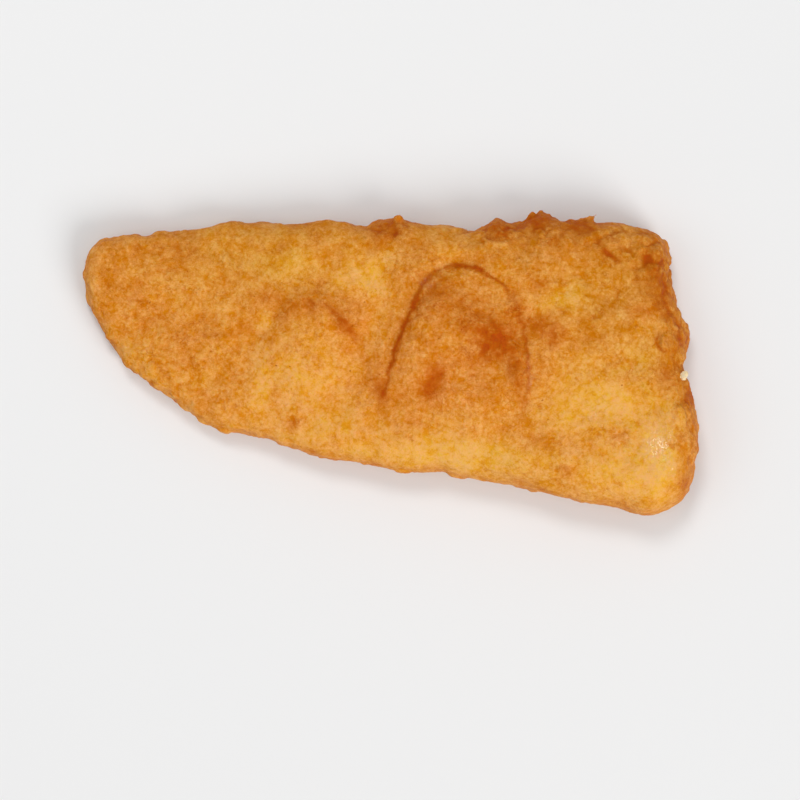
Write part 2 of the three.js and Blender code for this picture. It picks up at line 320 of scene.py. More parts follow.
def addRun(bm, dots, flat):
    # dots joined by closer dots, so that a dab is one lump
    for start, end in zip(dots, dots[1:] + dots[-1:]):
        count = max(1, math.ceil(math.dist(start[:3], end[:3]) / (0.5 * end[3])))
        for i in range(count):
            x, y, z, radius = (a + (b - a) * i / count for a, b in zip(start, end))
            addDot(bm, (x, y, z), radius, (1, 1, flat))


def addPlate(bm, dots, flat):
    plate = bmesh.new()
    for x, y, z, radius in dots:
        addDot(plate, (x, y, z), radius, (1, 1, flat))
    for edge in list(plate.edges):
        plate.edges.remove(edge)
    bmesh.ops.convex_hull(plate, input=plate.verts)
    inside = [point for point in plate.verts if not point.link_faces]
    bmesh.ops.delete(plate, geom=inside, context="VERTS")
    made = bpy.data.meshes.new("plate")
    plate.to_mesh(made)
    plate.free()
    bm.from_mesh(made)
    bpy.data.meshes.remove(made)


def addDabs(mesh, core):
    draw = random.Random(rimDabs["seed"])
    bm = bmesh.new()
    bm.from_mesh(mesh)
    bmesh.ops.remove_doubles(bm, verts=bm.verts, dist=0.01 * mm)
    for dab in dabs:
        add = addRun if dab["kind"] == "run" else addPlate
        add(bm, dab["dots"], dab["flat"])

    # flat dabs that lie on the top
    for x, y, radius, thickness in cheekDabs:
        _, place, normal, _ = core.ray_cast(Vector((x, y, 40)) * mm, Vector((0, 0, -1)))
        turn = normal.to_track_quat("Z", "Y").to_matrix().to_4x4()
        addDot(bm, place / mm, radius, (1, 1, thickness / radius), turn)

    # small dabs all round the rim, each half sunk into the wall that it faces
    for _ in range(rimDabs["count"]):
        angle = draw.uniform(0, math.tau)
        height = draw.uniform(rimDabs["lowest"], rimDabs["highest"])
        reach = filletHigh - filletLow
        outside = Vector((reach.x * math.cos(angle), reach.y * math.sin(angle), height * mm))
        middle = Vector((draw.uniform(-0.35, 0.35) * reach.x, 0, height * mm))
        found, place, normal, _ = core.ray_cast(outside, (middle - outside).normalized())
        radius = draw.uniform(*rimDabs["radius"])
        sides = draw.uniform(*rimDabs["stretch"]), draw.uniform(*rimDabs["stretch"])
        stretch = (*sides, draw.uniform(*rimDabs["flat"]))
        turn = normal.to_track_quat("Z", "Y").to_matrix().to_4x4() if found else None
        if found:
            sunk = radius * stretch[2] * rimDabs["sunk"]
            addDot(bm, place / mm - normal * sunk, radius, stretch, turn)
    bm.to_mesh(mesh)
    bm.free()


# where the crust fried darker or stayed paler: place and half size in mm, turn in degrees; the patch on the
# mound's left flank and the belly shade are painted shade, and the paler head front is partly a painted sheen

browned = [
    ("knob root", (-1.0, 38.6), (7.0, 3.4), 6, 0.80),
    ("first crest", (32.4, 39.4), (4.4, 2.8), 0, 0.85),
    ("crest", (43.4, 42.2), (5.0, 2.8), 0, 0.85),
    ("behind the flake", (55.6, 40.4), (6.4, 2.4), 8, 0.65),
    ("below the crest", (40, 37), (12, 3.4), 0, 0.25),
    ("back of the head", (64, 33), (11, 6), 0, 0.22),
    ("head corner", (76.6, 34.4), (6.4, 5.4), -20, 0.34),
    ("below the corner", (77.2, 24.5), (4.2, 6.6), 12, 0.46),
    ("head belt", (80.8, 18.0), (3.6, 9.5), 16, 0.46),
    ("cheek", (81.4, 5.6), (4.4, 4.4), 0, 0.16),
    ("below the cheek", (83.4, -2.8), (4.2, 6.4), 0, 0.44),
    ("front of the cheek", (79.6, -3.2), (3.2, 4.6), 0, 0.28),
    ("middle of the head, back", (63, 11.5), (14, 8), 0, 0.26),
    ("front corner", (84.6, -35.5), (3.4, 4.0), 30, 0.34),
    ("lower shelf", (85.8, -26), (3.0, 6.5), 4, 0.45),
    ("shelf", (86.6, -10), (2.6, 8.0), 4, 0.42),
    ("belt's end", (86.6, 8.6), (2.8, 5.5), 10, 0.35),
    ("ring, darkest", (30.6, 7.2), (6.4, 4.4), -38, 1.0),
    ("ring's left end", (20.4, 10), (3, 2.6), 0, 0.20),
    ("ring, top", (24.0, 11.6), (5, 2.4), -14, 0.26),
    ("ring, side", (37.2, -2.4), (2.4, 7.5), 8, 0.58),
    ("ring hollow", (25.5, 1.5), (5, 4), 0, 0.18),
    ("dimple", (13.2, -4.4), (4.4, 5.6), -8, 0.60),
    ("dimple's left side", (11.2, -5.4), (1.5, 4.0), -14, 0.32),
    ("top of the mound", (14.6, 22.0), (6.5, 4.4), 10, 0.34),
    ("behind the arch", (29, 31), (4.5, 2.8), 0, 0.22),
    ("crown of the mound", (21, 18), (10, 6), 0, 0.16),
    # painted shade on the left flank of the mound
    ("mound's left flank, painted shade", (6.6, 14.2), (3.0, 9.5), -24, 0.30),
    ("outside the arch", (2.6, 24.0), (6.0, 4.6), 0, 0.34),
    ("middle valley", (-4.0, -5.2), (2.8, 6.4), 16, 0.28),
    ("arch's foot", (-2.4, -10.0), (1.8, 4.6), 12, 0.48),
    ("upper valley, paler", (-4.2, 8), (3.2, 4.0), 0, -0.32),
    ("tail peak", (-22.8, 17.8), (4.6, 2.2), 4, 0.34),
    ("tail peak, right leg", (-13.2, 12.0), (5.6, 2.0), -50, 0.45),
    ("by the tail peak", (-11, 16.5), (5, 4), 0, 0.22),
    ("tail peak, left leg", (-30.4, 14.0), (3.0, 5.0), -40, 0.34),
    ("above the left leg", (-36, 18.6), (4.4, 2.4), 0, 0.40),
    ("small dash, tail", (-20.2, 23.8), (1.3, 2.0), 10, 0.45),
    ("front spot", (-28.0, -17.0), (2.6, 3.0), 0, 0.60),
    ("small front spot", (-33.2, -8.8), (2.2, 3.0), 0, 0.42),
    ("spot by the mound", (43.2, 11.0), (5.0, 3.2), -20, 0.68),
    ("right of the ring", (44.4, -1.6), (2.8, 4.4), 0, 0.34),
    ("above the spot, paler", (44, 17), (3.4, 2.6), 0, -0.34),
    ("mound's right shoulder", (36.2, 18.4), (2.4, 4.0), 0, 0.26),
    ("spot's tail", (47.4, 6.6), (1.9, 5.0), -18, 0.45),
    ("dash behind the spot", (44.2, 23.4), (3.0, 1.2), 6, 0.50),
    ("second dash", (50.2, 23.6), (1.8, 1.1), 0, 0.35),
    ("belly spot", (50.8, -30.2), (2.6, 2.0), 0, 0.80),
    ("foot of the ring", (29, -10), (4, 3), 0, 0.18),
    ("belly shade", (43.2, -22.2), (3.6, 3.2), 0, 0.20),
    ("rough belly patch", (66, -20.8), (5.4, 3.6), 0, 0.34),
    ("shoulder spot", (81.4, -23.4), (1.4, 2.4), 0, 0.50),
    ("lower shoulder spot", (86.0, -34.2), (1.5, 2.0), 0, 0.55),
    ("head notch", (88.0, -10.5), (1.8, 5.5), 0, 0.30),
    ("behind the knob", (8, 33.8), (7, 3), 0, 0.26),
    ("tail end", (-72, 34), (20, 6), 0, 0.22),
    ("small spot, back", (-31.4, 34.2), (2, 1.6), 0, 0.40),
    ("tail mound, paler", (-26.4, -1.6), (12, 10.5), 0, -0.50),
    ("front left, paler", (-30, -15), (18, 7), -8, -0.24),
    ("front of the tail, paler", (-38, -6), (4, 8), 0, -0.42),
    ("front band, paler", (14, -25), (40, 5.5), -7, -0.32),
    ("belly, paler", (66, -30), (18, 8), -11, -0.42),
    ("below the mound, paler", (20, -24), (11, 4.5), -8, -0.20),
    ("front rim, paler", (18, -29.6), (14, 2.6), -8, -0.34),
    ("front edge, paler", (-8, -25.5), (7, 2.4), 0, -0.30),
    ("right of the tail mound, paler", (-12.4, -5), (3.4, 6.5), 0, -0.24),
    ("foot of the valley, paler", (-9, -13), (6, 5), 0, -0.20),
    # paler batter, with a painted sheen where the oil shines
    ("head front, paler, painted sheen", (78.4, -25), (7.5, 12), 0, -0.68),
    ("head hollow, paler", (66, -12.8), (12, 7.5), 0, -0.50),
    ("middle of the head, paler", (56, -5), (11, 9), 0, -0.30),
    ("back swell, paler", (50.2, 19), (6.4, 4.4), 0, -0.42),
    ("upper tail, paler", (-7, 25), (9, 5.5), 0, -0.56),
    ("back of the tail, paler", (-30, 28), (12, 6), 0, -0.22),
    ("head swell, paler", (74, 9.4), (5.4, 3.4), 0, -0.24),
    ("beside the belt", (72, 15), (5, 2.6), 0, 0.22),
    ("foot of the mound, paler", (17.6, -14.5), (13, 3.6), 0, -0.14),
    ("beside the spot", (50, 6), (6, 3), 0, 0.20),
    ("foot of the head, paler", (51.6, -14.6), (6, 5), 0, -0.40),
    ("front of the head crease, paler", (71.5, 2), (6.5, 4), 0, -0.26),
    ("left of the tail peak, paler", (-36, 12), (2.8, 3.6), 0, -0.45),
]


# where the batter is more golden than orange, and where it is rosier

golden = [
    ("right and back of the head", (70, 18), (20, 26), 0, 0.75),
    ("mound and front, rosier", (0, -8), (46, 24), 0, -0.45),
    ("head side", (85.5, -6), (4, 16), 0, 0.50),
    ("head edge", (80, 22), (5.5, 13), 12, 0.45),
    ("crest", (42, 40), (16, 6), 0, 0.40),
    ("back middle", (16, 36), (20, 6), 0, 0.30),
    ("tail, back", (-36, 32), (30, 12), 0, 0.8),
    ("tail mound", (-22, 4), (10, 10), 0, 0.10),
    ("foot of the belly", (24, -26), (16, 5), -8, 0.25),
    ("dimple, rosier", (13.6, -5), (5, 5), 0, -0.60),
    ("back swell", (50, 18.5), (8, 5), 0, 0.15),
    ("front edge", (30, -28), (26, 5), -8, 0.20),
    ("upper tail, rosier", (-8, 25), (10, 6), 0, -0.25),
    ("head swell, rosier", (75.4, 15.4), (6, 6), 0, -0.60),
    ("head front, rosier", (77, -21), (7, 9), 0, -0.15),
]
lumpy = [  # where the batter set in lumps: the same way
    ("head corner", (75, 31), (9, 7), -20, 1.5),
    ("back of the head", (54, 38), (20, 5), 0, 0.9),
    ("belt", (83, 15), (4, 11), 14, 1.0),
    ("cheek", (80, 3), (6, 7), 0, 0.3),
    ("shelf", (86, -14), (3, 16), 4, 0.9),
    ("first crest", (30, 39), (9, 4), 0, 0.9),
    ("knob root", (-2, 39), (7, 3.5), 0, 0.9),
    ("mound's flank", (6, 8), (6, 12), -20, 0.5),
    ("ring", (28, 8), (9, 9), 0, 0.4),
    ("rough belly patch", (66, -20), (9, 6), 0, 0.7),
    ("tail end", (-70, 0), (20, 30), 0, 0.5),
]
oily = [  # where oil shines: the same way
    ("head front", (77.2, -23.4), (2.8, 5.0), 0, 1.0),
    ("head front, right", (80.6, -21.4), (1.2, 3.4), -20, 0.90),
    ("head streak", (81.4, -13.6), (0.9, 3.2), 12, 0.80),
    ("head front, low", (81.2, -28.4), (1.4, 2.6), 0, 0.60),
    ("hollow's edge", (59.6, -13.2), (2.4, 1.6), 40, 0.70),
    ("ring's lip", (40.8, -2.2), (1.2, 4.0), 0, 0.50),
    ("belly", (64.6, -21.6), (5.0, 3.6), 0, 0.30),
    ("arch's corner", (11.0, 23.8), (1.6, 1.4), 0, 0.40),
    ("tail mound", (-20.6, -9.6), (3.4, 2.6), 0, 0.25),
]


def softPatchGroup():
    group = bpy.data.node_groups.new("softPatch", "GeometryNodeTree")
    for name, kind in (("Place", "Vector"), ("At", "Vector"), ("Half", "Vector"),
                       ("Turn", "Float"), ("Amount", "Float")):
        group.interface.new_socket(name=name, in_out="INPUT", socket_type="NodeSocket" + kind)
    group.interface.new_socket(name="Value", in_out="OUTPUT", socket_type="NodeSocketFloat")
    given = group.nodes.new("NodeGroupInput").outputs
    away = vectorCalc(group, "SUBTRACT", given["Place"], given["At"])
    back = calc(group, "MULTIPLY", given["Turn"], -1.0)
    turned = addNode(group, "ShaderNodeVectorRotate", {"Vector": away, "Angle": back},
                     rotation_type="Z_AXIS").outputs[0]
    share = vectorCalc(group, "DIVIDE", turned, given["Half"])
    square = vectorCalc(group, "DOT_PRODUCT", share, share, output="Value")
    fall = calc(group, "EXPONENT", calc(group, "MULTIPLY", square, -1.0))
    output = group.nodes.new("NodeGroupOutput")
    group.links.new(calc(group, "MULTIPLY", fall, given["Amount"]), output.inputs[0])
    return group


def patchField(tree, place, patches, group):
    values = []
    for _, at, half, turn, amount in patches:
        node = addNode(tree, "GeometryNodeGroup", node_tree=group)
        tree.links.new(place, node.inputs["Place"])
        node.inputs["At"].default_value = (*at, 0)
        node.inputs["Half"].default_value = (*half, 1)
        node.inputs["Turn"].default_value = math.radians(turn)
        node.inputs["Amount"].default_value = amount
        values.append(node.outputs[0])
    return total(tree, values)


# the crust's relief, all sizes in mm

crustSizes = {
    "voxel": 0.42,
    "smoothing": 5,
    "triangles": 196000,
    "Puff Size": 13.0, "Puff Height": 0.50,
    "Lump Size": 5.5, "Lump Height": 0.24,
    "Knob Size": 3.8, "Knob Height": 1.5,
    "Crumb Size": 2.1, "Crumb Height": 0.09,
    "Grain Size": 1.15, "Grain Height": 0.06,
    "Wrinkle Size": 5.0, "Wrinkle Height": 0.14,
    "Under Hollow": 0.5,
}
strays = {  # how noise pushes a pattern about: its size and its reach in mm, and its detail
    "wobble": (3.4, 2.6, 2.0),
    "drift": (6.0, 5.0, 3.0),
    "swirl": (3.0, 3.4, 2.0),
    "stir": (1.6, 1.6, 1.0),
    "wind": (1.6, 0.96, 1.0),
    "mix": (1.4, 1.2, 2.0),
}
# the most darkening of each kind: on walls and in the gaps between knobs it is painted shade, at the back
# edge it is browning, and anywhere is the cap on all of it
mostBrownAndShade = {"wallShade": 0.32, "knobGapShade": 0.4, "backEdge": 0.15, "anywhere": 1.02}
backEdge = (38.5, 43.5)  # where the back edge starts and ends, in mm from the middle


def strayed(tree, place, name):
    size, reach, detail = strays[name]
    push = scaled(tree, noiseAt(tree, place, size, detail=detail, output="Color"), reach)
    return vectorCalc(tree, "ADD", place, push)


def flattened(tree, place):
    return vectorCalc(tree, "MULTIPLY", place, (1, 1, 0))


def creaseFields(tree, position, wandering, lines):
    # the nearest point of a line says how deep the surface goes there, where it steps up and how much darker
    # it is painted there, painted shade of the groove over some browning
    target = addNode(tree, "GeometryNodeObjectInfo", {"Object": lines}).outputs["Geometry"]
    nearest = addNode(tree, "GeometryNodeSampleNearest",
                      {"Geometry": target, "Sample Position": wandering}).outputs["Index"]

    def atNearest(value, kind="FLOAT"):
        return addNode(tree, "GeometryNodeSampleIndex",
                       {"Geometry": target, "Value": value, "Index": nearest},
                       data_type=kind, domain="POINT").outputs["Value"]

    def lineValue(name, kind="FLOAT"):
        field = addNode(tree, "GeometryNodeInputNamedAttribute", {"Name": name}, data_type=kind)
        return atNearest(field.outputs["Attribute"], kind)

    gap = vectorCalc(tree, "SUBTRACT", wandering, atNearest(position, "FLOAT_VECTOR"))
    away = vectorCalc(tree, "LENGTH", gap, output="Value")
    share = calc(tree, "DIVIDE", away, lineValue("reach"))
    groove = calc(tree, "EXPONENT", calc(tree, "MULTIPLY", calc(tree, "MULTIPLY", share, share), -1.0))
    depth = calc(tree, "MULTIPLY", groove, lineValue("depth"))
    # painted shade: the colour darkens towards each groove's line
    brown = calc(tree, "MULTIPLY", groove, lineValue("brown"))
    onRight = vectorCalc(tree, "DOT_PRODUCT", gap, lineValue("side", "FLOAT_VECTOR"), output="Value")
    upStep = remap(tree, onRight, -0.3 * stepWidth, 0.7 * stepWidth)
    fallAway = calc(tree, "EXPONENT", calc(tree, "MULTIPLY", away, -1 / stepDecay))
    rise = calc(tree, "MULTIPLY", calc(tree, "MULTIPLY", upStep, fallAway), lineValue("step"))
    return calc(tree, "SUBTRACT", rise, depth), brown


def batterBumps(tree, given, place, knobbly):
    # puffs, lumps, knobs, crumbs, grain and wrinkles, each with its own wavelength;
    # cells run from 0 in their middle to about 0.8 in the gaps between them
    puffs = noiseAt(tree, place, given["Puff Size"], detail=1.0)
    lumpCells = cellsAt(tree, strayed(tree, place, "wobble"), given["Lump Size"], 0.8)
    lumps = calc(tree, "MULTIPLY_ADD", lumpCells, -2.0, 0.9)
    knobCells = cellsAt(tree, strayed(tree, place, "swirl"), given["Knob Size"], 0.15)
    knobs = calc(tree, "MULTIPLY", calc(tree, "SUBTRACT", 0.42, knobCells), knobbly)
    crumbCells = cellsAt(tree, strayed(tree, place, "stir"), given["Crumb Size"], 0.35)
    crumbs = calc(tree, "MULTIPLY_ADD", crumbCells, -3.2, 1.3)
    grain = noiseAt(tree, place, given["Grain Size"], detail=1.0)
    film = calc(tree, "ABSOLUTE", noiseAt(tree, strayed(tree, place, "wind"), given["Wrinkle Size"]))
    wrinkled = remap(tree, noiseAt(tree, place, 9.0), 0.05, 0.5)
    wrinkles = calc(tree, "MULTIPLY", remap(tree, film, 0.16, 0.0), wrinkled)
    bumps = {
        "Puff": puffs, "Lump": lumps, "Knob": knobs,
        "Crumb": crumbs, "Grain": grain, "Wrinkle": wrinkles,
    }
    rise = total(tree, [calc(tree, "MULTIPLY", bumps[name], given[name + " Height"]) for name in bumps])
    # painted shade in the gaps between the knobs
    knobGapShade = calc(tree, "MULTIPLY", remap(tree, knobCells, 0.5, 0.8), knobbly)
    return rise, knobGapShade, {"crumb": crumbs, "wrinkle": wrinkles, "grain": grain}


def onGround(tree, given, place, height, moved):
    # the underside stays on the ground, with shallow hollows where it isn't pressed flat
    parts = addNode(tree, "ShaderNodeSeparateXYZ", {0: moved}).outputs
    hollow = remap(tree, noiseAt(tree, place, 11.0), -0.1, 1.0)
    hollow = calc(tree, "MULTIPLY", calc(tree, "MULTIPLY", hollow, given["Under Hollow"]), mm)
    under = remap(tree, height, 1.0, 0.2)
    lifted = calc(tree, "MAXIMUM", parts["Z"], calc(tree, "MULTIPLY", hollow, under))
    return addNode(tree, "ShaderNodeCombineXYZ",
                   {"X": parts["X"], "Y": parts["Y"], "Z": lifted}).outputs[0]


def crustRelief(lines, material):
    names = [name for name in crustSizes if name[0].isupper()]
    tree, given = newTree("crustRelief", {name: crustSizes[name] for name in names})
    softPatch = softPatchGroup()
    position = tree.nodes.new("GeometryNodeInputPosition").outputs[0]
    normal = tree.nodes.new("GeometryNodeInputNormal").outputs[0]
    place = scaled(tree, position, 1 / mm)
    height = addNode(tree, "ShaderNodeSeparateXYZ", {0: place}).outputs["Z"]
    topness = remap(tree, height, 1.5, 6.0)
    wandering = flattened(tree, strayed(tree, place, "wobble"))
    drifted = flattened(tree, strayed(tree, place, "drift"))

    folds, creaseBrownAndShade = creaseFields(tree, position, wandering, lines)
    knobbly = patchField(tree, drifted, lumpy, softPatch)
    bumps, knobGapShade, seen = batterBumps(tree, given, place, knobbly)
    rise = calc(tree, "ADD", bumps, calc(tree, "MULTIPLY", folds, topness))
    moved = vectorCalc(tree, "ADD", position, scaled(tree, normal, calc(tree, "MULTIPLY", rise, mm)))
    shaped = addNode(tree, "GeometryNodeSetPosition",
                     {"Geometry": given["Geometry"],
                      "Position": onGround(tree, given, place, height, moved)}).outputs[0]

    # fields that the finish reads
    across = addNode(tree, "ShaderNodeSeparateXYZ", {0: place}).outputs["Y"]
    upward = addNode(tree, "ShaderNodeSeparateXYZ", {0: normal}).outputs["Z"]
    onTop = calc(tree, "ADD", patchField(tree, drifted, browned, softPatch), creaseBrownAndShade)
    tone = total(tree, [
        calc(tree, "MULTIPLY", onTop, topness),
        remap(tree, across, *backEdge, 0.0, mostBrownAndShade["backEdge"]),
        # painted shade: the more the surface turns away from facing up, the darker
        remap(tree, upward, 0.75, 0.1, 0.0, mostBrownAndShade["wallShade"]),
        # painted shade between the knobs
        calc(tree, "MULTIPLY", knobGapShade, mostBrownAndShade["knobGapShade"]),
    ])
    # browning together with the painted shade of walls, knob gaps and grooves
    seen["browning"] = calc(tree, "SMOOTH_MIN", tone, mostBrownAndShade["anywhere"], 0.3)
    seen["golden"] = patchField(tree, drifted, golden, softPatch)
    seen["oil"] = calc(tree, "MULTIPLY", patchField(tree, wandering, oily, softPatch), topness)
    for name, value in seen.items():
        shaped = storeField(tree, shaped, name, value)
    closeTree(tree, shaped, material)
    return tree


def ridgeField(material):
    # how far each point stands out from its neighbours, for ridges painted paler and hollows painted darker:
    # painted light and painted shade
    tree, given = newTree("ridgeField", {})
    position = tree.nodes.new("GeometryNodeInputPosition").outputs[0]
    normal = tree.nodes.new("GeometryNodeInputNormal").outputs[0]
    blurred = addNode(tree, "GeometryNodeBlurAttribute", {"Iterations": 12}, data_type="FLOAT_VECTOR")
    vectorInput = next(socket for socket in blurred.inputs if socket.enabled and socket.name == "Value")
    tree.links.new(position, vectorInput)
    smoothPlace = next(socket for socket in blurred.outputs if socket.enabled)
    proud = vectorCalc(tree, "DOT_PRODUCT", vectorCalc(tree, "SUBTRACT", position, smoothPlace), normal,
                       output="Value")
    stored = storeField(tree, given["Geometry"], "ridge", calc(tree, "MULTIPLY", proud, 1 / mm))
    closeTree(tree, stored, material)
    return tree


# finish of the crust, colours from the darkest fried spots to the palest batter

crustTones = [
    (0.00, (0.490, 0.077, 0.004)),
    (0.15, (0.535, 0.116, 0.003)),
    (0.33, (0.612, 0.162, 0.001)),
    (0.47, (0.705, 0.225, 0.003)),
    (0.60, (0.798, 0.322, 0.010)),
    (0.76, (0.900, 0.470, 0.050)),
    (1.00, (0.980, 0.585, 0.140)),
]
crustFinish = {
    "roughness": 0.50, "unevenShine": 0.07, "gloss": 0.10, "glossTint": (1.0, 0.62, 0.2, 1),
    "bump": 0.85, "bumpHeight": 0.11,
    "glow": 0.30, "glowReach": (1.0, 0.32, 0.08), "glowScale": 1.2,
    "grainTone": (0.90, 0.460, 0.165, 1), "mostGrain": 0.9,
    "goldenTint": (0.925, 1.03, 0.80, 1), "rosyTint": (1.06, 0.98, 0.98, 1),
    "oilRoughness": 0.2, "oilIor": 1.85, "oilBump": 0.7, "oilBumpHeight": 0.12,
    "pitSpacing": 6.0, "pitTone": (0.42, 0.07, 0.001, 1), "pitDepth": 0.7,
}

# how much each pattern of the crust counts, in its tone, in its pale grains, in its hue and in its bump

toneWeights = {
    "browning": -0.42, "broad": 0.03, "blotches": 0.078, "friedSpots": -0.10,
    "mottle": 0.042, "fineCrumb": 0.012, "specks": 0.018, "dust": 0.018,
    "pores": -0.11, "gaps": -0.085, "crumb": 0.02, "grain": 0.01, "ridge": 0.03,
}
grainWeights = {
    "mottle": 0.85, "fineCrumb": 0.42, "specks": 0.66, "dust": 0.28, "grain": 0.35, "clouds": 0.50,
}
hueWeights = {"golden": 0.5, "warmth": 0.12, "fineWarmth": 0.10}
bumpWeights = {
    "fineCrumb": 0.5, "specks": 0.4, "dust": 0.6, "mottle": 0.3, "wrinkle": 0.5, "pores": -0.8, "gaps": -0.5,
}


def blend(tree, factor, first, second, way="MIX"):
    # two colours mixed by factor
    node = addNode(tree, "ShaderNodeMix", data_type="RGBA", blend_type=way)
    sockets = {socket.identifier: socket for socket in node.inputs}
    for name, value in (("Factor_Float", factor), ("A_Color", first), ("B_Color", second)):
        if isinstance(value, bpy.types.NodeSocket):
            tree.links.new(value, sockets[name])
        else:
            sockets[name].default_value = value
    return next(socket for socket in node.outputs if socket.identifier == "Result_Color")


def weighed(tree, patterns, weights, start=0.0):
    # start and each pattern times its weight, added up
    result = start
    for name, weight in weights.items():
        result = calc(tree, "MULTIPLY_ADD", patterns[name], weight, result)
    return result


def crustPatterns(tree, place, mixed):
    # everything that the colour and the bump are put together from
    patterns = {}
    for name in ("crumb", "grain", "wrinkle", "golden", "oil"):
        patterns[name] = addNode(tree, "ShaderNodeAttribute", attribute_name=name).outputs["Fac"]
    # fried browning together with painted shade
    browning = addNode(tree, "ShaderNodeAttribute", attribute_name="browning").outputs["Fac"]
    uneven = calc(tree, "MULTIPLY_ADD", noiseAt(tree, mixed, 2.2, detail=3.0, roughness=0.6), -0.42, 1.0)
    patterns["browning"] = calc(tree, "MULTIPLY", browning, uneven)
    # painted light on ridges and painted shade in hollows
    ridge = addNode(tree, "ShaderNodeAttribute", attribute_name="ridge").outputs["Fac"]
    patterns["ridge"] = remap(tree, ridge, -0.3, 0.3, -1.0, 1.0)

    patterns["broad"] = noiseAt(tree, place, 26.0, detail=1.0)
    patterns["blotches"] = noiseAt(tree, place, 10.0, detail=3.0, roughness=0.55)
    patterns["warmth"] = noiseAt(tree, place, 9.0, detail=4.0, roughness=0.6)
    patterns["clouds"] = noiseAt(tree, place, 7.0, detail=3.0, roughness=0.6)
    spots = noiseAt(tree, mixed, 6.0, detail=4.0, roughness=0.6)
    patterns["friedSpots"] = remap(tree, spots, 0.3, 1.0)
    patterns["mottle"] = noiseAt(tree, mixed, 3.0, detail=3.0, roughness=0.6)
    patterns["fineWarmth"] = noiseAt(tree, mixed, 1.9, roughness=0.6)
    fineCells = cellsAt(tree, mixed, 1.05, 0.3)
    patterns["fineCrumb"] = calc(tree, "MULTIPLY_ADD", fineCells, -3.2, 1.3)
    patterns["specks"] = noiseAt(tree, place, 0.9, detail=3.0, roughness=0.75)
    patterns["dust"] = noiseAt(tree, place, 0.45, roughness=0.7)

    # threadlike pores, and the gaps between small cells, both thicker in some places
    threads = calc(tree, "ABSOLUTE", noiseAt(tree, mixed, 2.6, roughness=0.6))
    porous = remap(tree, noiseAt(tree, place, 6.5), -0.2, 0.7)
    patterns["pores"] = calc(tree, "MULTIPLY", remap(tree, threads, 0.13, 0.0), porous)
    gaps = remap(tree, cellsAt(tree, mixed, 1.5, 0.0), 0.5, 0.85)
    patterns["gaps"] = calc(tree, "MULTIPLY", gaps, remap(tree, porous, 0.0, 1.0, 0.3, 1.0))
    return patterns


def crustColour(tree, mixed, patterns):
    level = weighed(tree, patterns, toneWeights, 0.49)
    ramp = addNode(tree, "ShaderNodeValToRGB", {"Fac": level})
    stops = ramp.color_ramp.elements
    while len(stops) < len(crustTones):
        stops.new(0.5)
    for stop, (spot, colour) in zip(stops, crustTones):
        stop.position = spot
        stop.color = (*colour, 1)

    # pale grains of batter over the browned colour, the more the paler it is
    share = calc(tree, "MULTIPLY_ADD", level, 0.95, -0.125)
    grains = calc(tree, "MULTIPLY", share, weighed(tree, patterns, grainWeights, 1.0))
    dusted = addNode(tree, "ShaderNodeClamp",
                     {"Value": grains, "Min": 0.0, "Max": crustFinish["mostGrain"]}).outputs[0]
    grained = blend(tree, dusted, ramp.outputs["Color"], crustFinish["grainTone"])
    hue = weighed(tree, patterns, hueWeights, 0.5)
    tint = blend(tree, hue, crustFinish["rosyTint"], crustFinish["goldenTint"])
    coloured = blend(tree, 1.0, grained, tint, "MULTIPLY")
    pits = remap(tree, cellsAt(tree, mixed, crustFinish["pitSpacing"], 0.0), 0.055, 0.025)
    pitted = calc(tree, "MULTIPLY", pits, crustFinish["pitDepth"])
    return blend(tree, pitted, coloured, crustFinish["pitTone"])


def oilFilm(tree, shader, mixed, patterns, relief):
    # a thin coat in streaks, with a surface of its own
    along = vectorCalc(tree, "MULTIPLY", mixed, (1.0, 0.4, 1.0))
    streaks = noiseAt(tree, along, 1.1)
    film = calc(tree, "MULTIPLY", patterns["oil"], remap(tree, streaks, -0.3, 0.5, 0.3, 1.2))
    coat = addNode(tree, "ShaderNodeClamp", {"Value": film}).outputs[0]
    tree.links.new(coat, shader.inputs["Coat Weight"])
    filmRelief = calc(tree, "MULTIPLY_ADD", relief, 0.25, streaks)
    bump = addNode(tree, "ShaderNodeBump",
                   {"Height": filmRelief, "Strength": crustFinish["oilBump"],
                    "Distance": crustFinish["oilBumpHeight"] * mm})
    tree.links.new(bump.outputs["Normal"], shader.inputs["Coat Normal"])
    shader.inputs["Coat Roughness"].default_value = crustFinish["oilRoughness"]
    shader.inputs["Coat IOR"].default_value = crustFinish["oilIor"]


def newMaterial(name):
    # the material with its tree, its shader and its place on the piece, in mm
    material = bpy.data.materials.new(name)
    material.use_nodes = True
    tree = material.node_tree
    place = scaled(tree, addNode(tree, "ShaderNodeTexCoord").outputs["Object"], 1 / mm)
    return material, tree, tree.nodes["Principled BSDF"], place


def friedCrust():
    material, tree, shader, place = newMaterial("friedCrust")
    mixed = strayed(tree, place, "mix")
    patterns = crustPatterns(tree, place, mixed)
    tree.links.new(crustColour(tree, mixed, patterns), shader.inputs["Base Color"])
    shine = calc(tree, "MULTIPLY_ADD", noiseAt(tree, place, 5.0, detail=3.0),
                 crustFinish["unevenShine"], crustFinish["roughness"])
    tree.links.new(shine, shader.inputs["Roughness"])
    relief = weighed(tree, patterns, bumpWeights)
    bump = addNode(tree, "ShaderNodeBump",
                   {"Height": relief, "Strength": crustFinish["bump"],
                    "Distance": crustFinish["bumpHeight"] * mm})
    tree.links.new(bump.outputs["Normal"], shader.inputs["Normal"])
    oilFilm(tree, shader, mixed, patterns, relief)
    shader.inputs["Specular IOR Level"].default_value = crustFinish["gloss"]
    shader.inputs["Specular Tint"].default_value = crustFinish["glossTint"]
    shader.inputs["Subsurface Weight"].default_value = crustFinish["glow"]
    shader.inputs["Subsurface Radius"].default_value = crustFinish["glowReach"]
    shader.inputs["Subsurface Scale"].default_value = crustFinish["glowScale"] * mm
    return material


